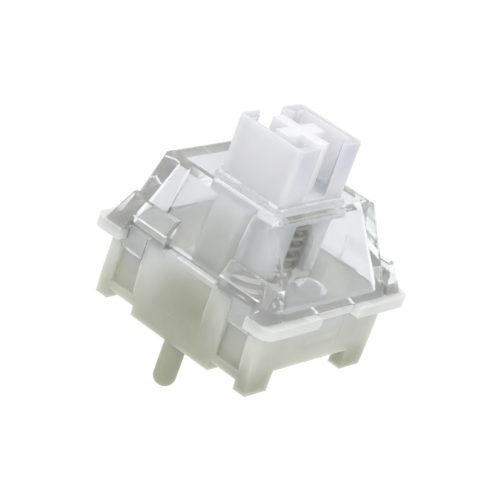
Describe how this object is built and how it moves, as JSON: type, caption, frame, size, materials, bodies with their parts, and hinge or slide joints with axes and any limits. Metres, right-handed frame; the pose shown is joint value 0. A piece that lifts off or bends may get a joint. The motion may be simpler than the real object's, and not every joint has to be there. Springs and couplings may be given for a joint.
{
  "type": "contactless mechanical keyboard switch",
  "caption": "Plate-mounted keyboard switch with clear cover, milky base and a sprung slider that carries a walled cross mount for a keycap.",
  "frame": {"origin": "middle of the housing on the board plane, where the underside of the base rests on the circuit board", "axes": "+Z along the stroke towards the keycap, -Y towards the light window, X across the two latch sides"},
  "size_m": [0.016, 0.016, 0.019],
  "materials": {
    "milky_nylon": "satin",
    "clear_polycarbonate": "clear",
    "milky_acetal": "satin",
    "spring_steel": "polished",
    "nickel_plate": "plated"
  },
  "bodies": {
    "housing": {"lower_housing": "milky_nylon", "upper_housing": "clear_polycarbonate", "light_guide": "clear_polycarbonate", "return_spring": "spring_steel"},
    "slider": {"stem": "milky_acetal", "magnet": "nickel_plate"}
  },
  "joints": [
    {"name": "key_stroke", "type": "slide", "parent": "housing", "child": "slider", "axis": [0, 0, -1], "range_m": [0, 0.004], "stiffness_N_per_m": 50, "springref_m": -0.005, "deforming": ["return_spring"]}
  ]
}
